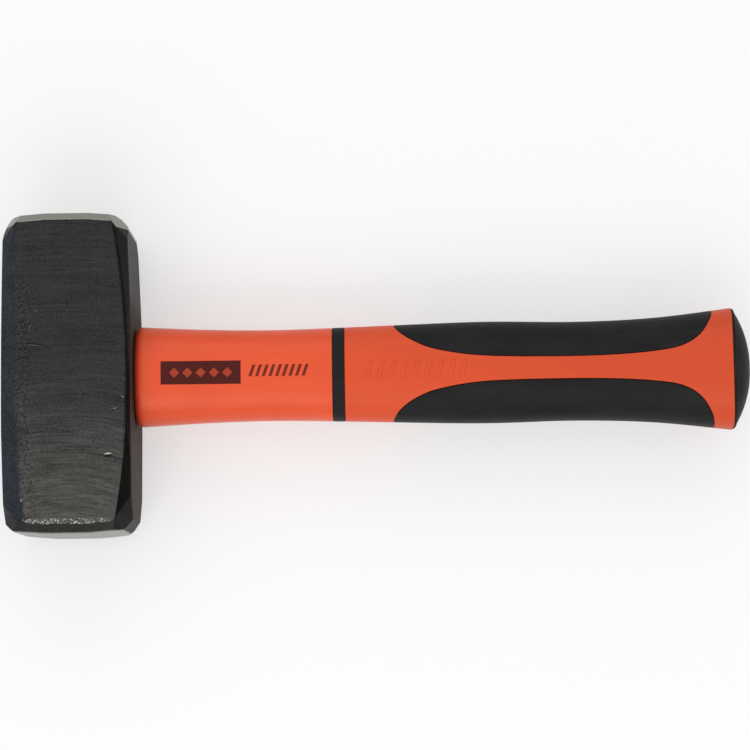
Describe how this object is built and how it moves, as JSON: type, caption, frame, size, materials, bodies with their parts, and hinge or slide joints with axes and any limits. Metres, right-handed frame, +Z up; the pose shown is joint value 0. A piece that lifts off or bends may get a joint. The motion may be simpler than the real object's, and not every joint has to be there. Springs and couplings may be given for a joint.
{
  "type": "lump hammer",
  "caption": "Short heavy hammer: a square forged steel head with chamfered striking faces on a fibreglass rod, with a moulded plastic handle, inlaid soft grip pads and a domed butt cap.",
  "frame": {"origin": "centre of the cheek that the head lies on, under the middle of the eye", "axes": "+X along the handle from the head to the butt, +Y along the head from one striking face to the other, +Z up from the lower cheek"},
  "size_m": [0.2593, 0.1106, 0.0446],
  "materials": {
    "forged_steel": "black oxide over ground forging, ground bright at the ends",
    "glass_fibre": "resin-bound fibre",
    "cast_resin": "glossy cast",
    "hard_orange": "moulded, semi-gloss",
    "grip_orange": "moulded, satin",
    "soft_black": "soft matte"
  },
  "bodies": {
    "root": {"head": "forged_steel", "core_rod": "glass_fibre", "eye_resin": "cast_resin", "eye_seal": "soft_black", "handle_sleeve": "hard_orange", "divider_band": "soft_black", "grip_shell": "grip_orange", "grip_pad_a": "soft_black", "grip_pad_b": "soft_black", "butt_cap": "soft_black"}
  },
  "joints": []
}
